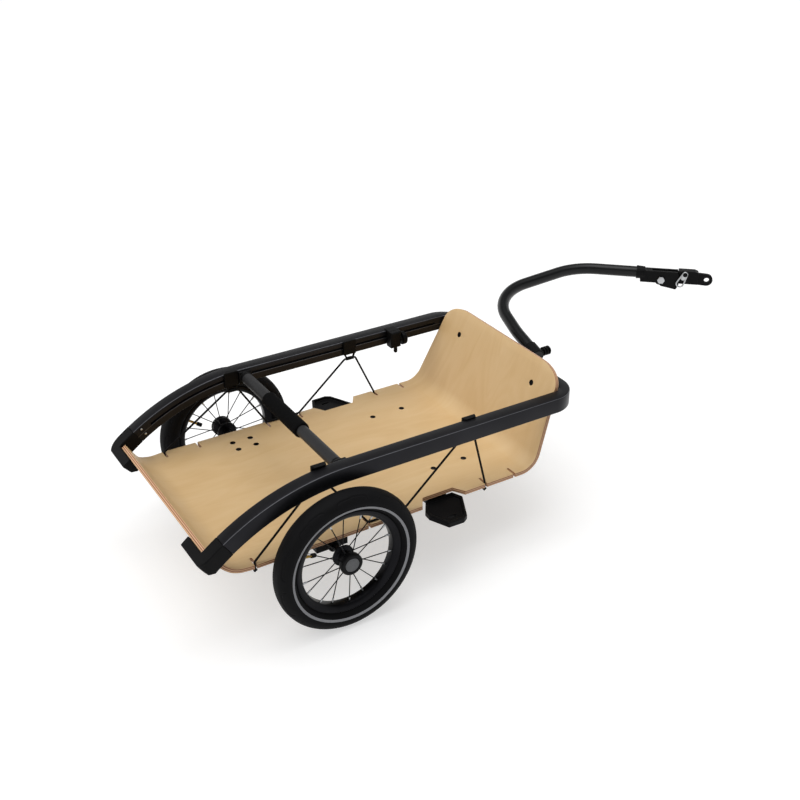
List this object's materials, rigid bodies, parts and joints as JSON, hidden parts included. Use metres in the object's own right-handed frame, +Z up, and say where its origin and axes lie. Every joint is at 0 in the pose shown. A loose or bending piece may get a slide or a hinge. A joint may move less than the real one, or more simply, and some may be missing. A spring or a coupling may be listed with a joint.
{
  "type": "cargo bicycle trailer",
  "caption": "Two-wheeled bicycle cargo trailer: bent plywood tray in a black U-shaped rail frame, quick-release spoked wheels, curved side drawbar with hitch.",
  "frame": {"origin": "on the ground, on the centre line of the tray, midway between the rear of the rails and the tip of the hitch", "axes": "+X forward, towards the bicycle; +Y to the left; +Z up"},
  "size_m": [1.402, 0.591, 0.368],
  "materials": {
    "rail": "satin black anodised",
    "plastic": "moulded black",
    "plywood": "clear lacquered birch",
    "brace": "satin dark grey",
    "foam": "matte foam",
    "tyre": "matte",
    "rim": "satin black",
    "hub": "satin black",
    "button": "matte grey",
    "brass": "polished",
    "steel": "bright",
    "cord": "black braided",
    "drawbar": "gloss black"
  },
  "bodies": {
    "frame": {"rail_frame": "rail", "end_cap_left": "plastic", "end_cap_right": "plastic", "deck": "plywood", "brace_tube": "brace", "brace_grip": "foam", "brace_foot_left": "plastic", "brace_foot_right": "plastic", "cord_clip_left_rear": "plastic", "cord_clip_left_front": "plastic", "cord_clip_right_rear": "plastic", "cord_clip_right_front": "plastic", "side_cord_left": "cord", "side_cord_right": "cord", "axle_receiver_left": "plastic", "axle_receiver_right": "plastic", "axle_beam": "rail", "cross_member": "rail", "side_step_left": "plastic", "side_step_right": "plastic", "panel_mount_left": "plastic", "panel_mount_right": "plastic", "drawbar_socket": "plastic"},
    "clamp": {"clamp_body": "plastic", "clamp_pin": "plastic"},
    "clamp_screw": {"clamp_knob": "plastic"},
    "drawbar": {"drawbar_tube": "drawbar", "hitch_yoke": "plastic", "hitch_bolt": "steel", "hitch_nut": "steel"},
    "drawbar_lock": {"drawbar_knob": "plastic"},
    "hitch": {"hitch_tongue": "plastic"},
    "hook": {"safety_hook": "steel"},
    "axle_left": {"axle_pin_left": "steel"},
    "wheel_left": {"tyre_left": "tyre", "rim_left": "rim", "hub_left": "hub", "hub_cap_left": "plastic", "valve_stem_left": "brass", "valve_cap_left": "plastic"},
    "button_left": {"release_button_left": "button"},
    "axle_right": {"axle_pin_right": "steel"},
    "wheel_right": {"tyre_right": "tyre", "rim_right": "rim", "hub_right": "hub", "hub_cap_right": "plastic", "valve_stem_right": "brass", "valve_cap_right": "plastic"},
    "button_right": {"release_button_right": "button"}
  },
  "joints": [
    {"name": "clamp_slide", "type": "slide", "parent": "frame", "child": "clamp", "axis": [1, 0, 0], "range_m": [-0.06, 0.08]},
    {"name": "clamp_screw_turn", "type": "hinge", "parent": "clamp", "child": "clamp_screw", "pos_m": [-0.03375, 0.19125, 0.29535], "axis": [1, 0, 0], "continuous": true},
    {"name": "drawbar_pull_out", "type": "slide", "parent": "frame", "child": "drawbar", "axis": [0.1497, 0.9765, 0.1548], "range_m": [0, 0.06]},
    {"name": "drawbar_lock_pull", "type": "slide", "parent": "frame", "child": "drawbar_lock", "axis": [1, 0, 0], "range_m": [0, 0.008], "stiffness_N_per_m": 900},
    {"name": "hitch_pivot", "type": "hinge", "parent": "drawbar", "child": "hitch", "pos_m": [0.6069, 0.06528, 0.3407], "axis": [0.6608, 0.7505, 0], "range_deg": [-20, 20]},
    {"name": "hook_swing", "type": "hinge", "parent": "hitch", "child": "hook", "pos_m": [0.63791, 0.01879, 0.3582], "axis": [0.6608, 0.7505, 0], "range_deg": [-40, 40]},
    {"name": "axle_pull_out_left", "type": "slide", "parent": "frame", "child": "axle_left", "axis": [0, 1, 0], "range_m": [0, 0.1]},
    {"name": "wheel_spin_left", "type": "hinge", "parent": "axle_left", "child": "wheel_left", "pos_m": [-0.43673, 0.2715, 0.145], "axis": [0, 1, 0], "continuous": true},
    {"name": "release_press_left", "type": "slide", "parent": "axle_left", "child": "button_left", "axis": [0, -1, 0], "range_m": [0, 0.0022], "stiffness_N_per_m": 1200},
    {"name": "axle_pull_out_right", "type": "slide", "parent": "frame", "child": "axle_right", "axis": [0, -1, 0], "range_m": [0, 0.1]},
    {"name": "wheel_spin_right", "type": "hinge", "parent": "axle_right", "child": "wheel_right", "pos_m": [-0.43673, -0.2715, 0.145], "axis": [0, 1, 0], "continuous": true},
    {"name": "release_press_right", "type": "slide", "parent": "axle_right", "child": "button_right", "axis": [0, 1, 0], "range_m": [0, 0.0022], "stiffness_N_per_m": 1200}
  ]
}
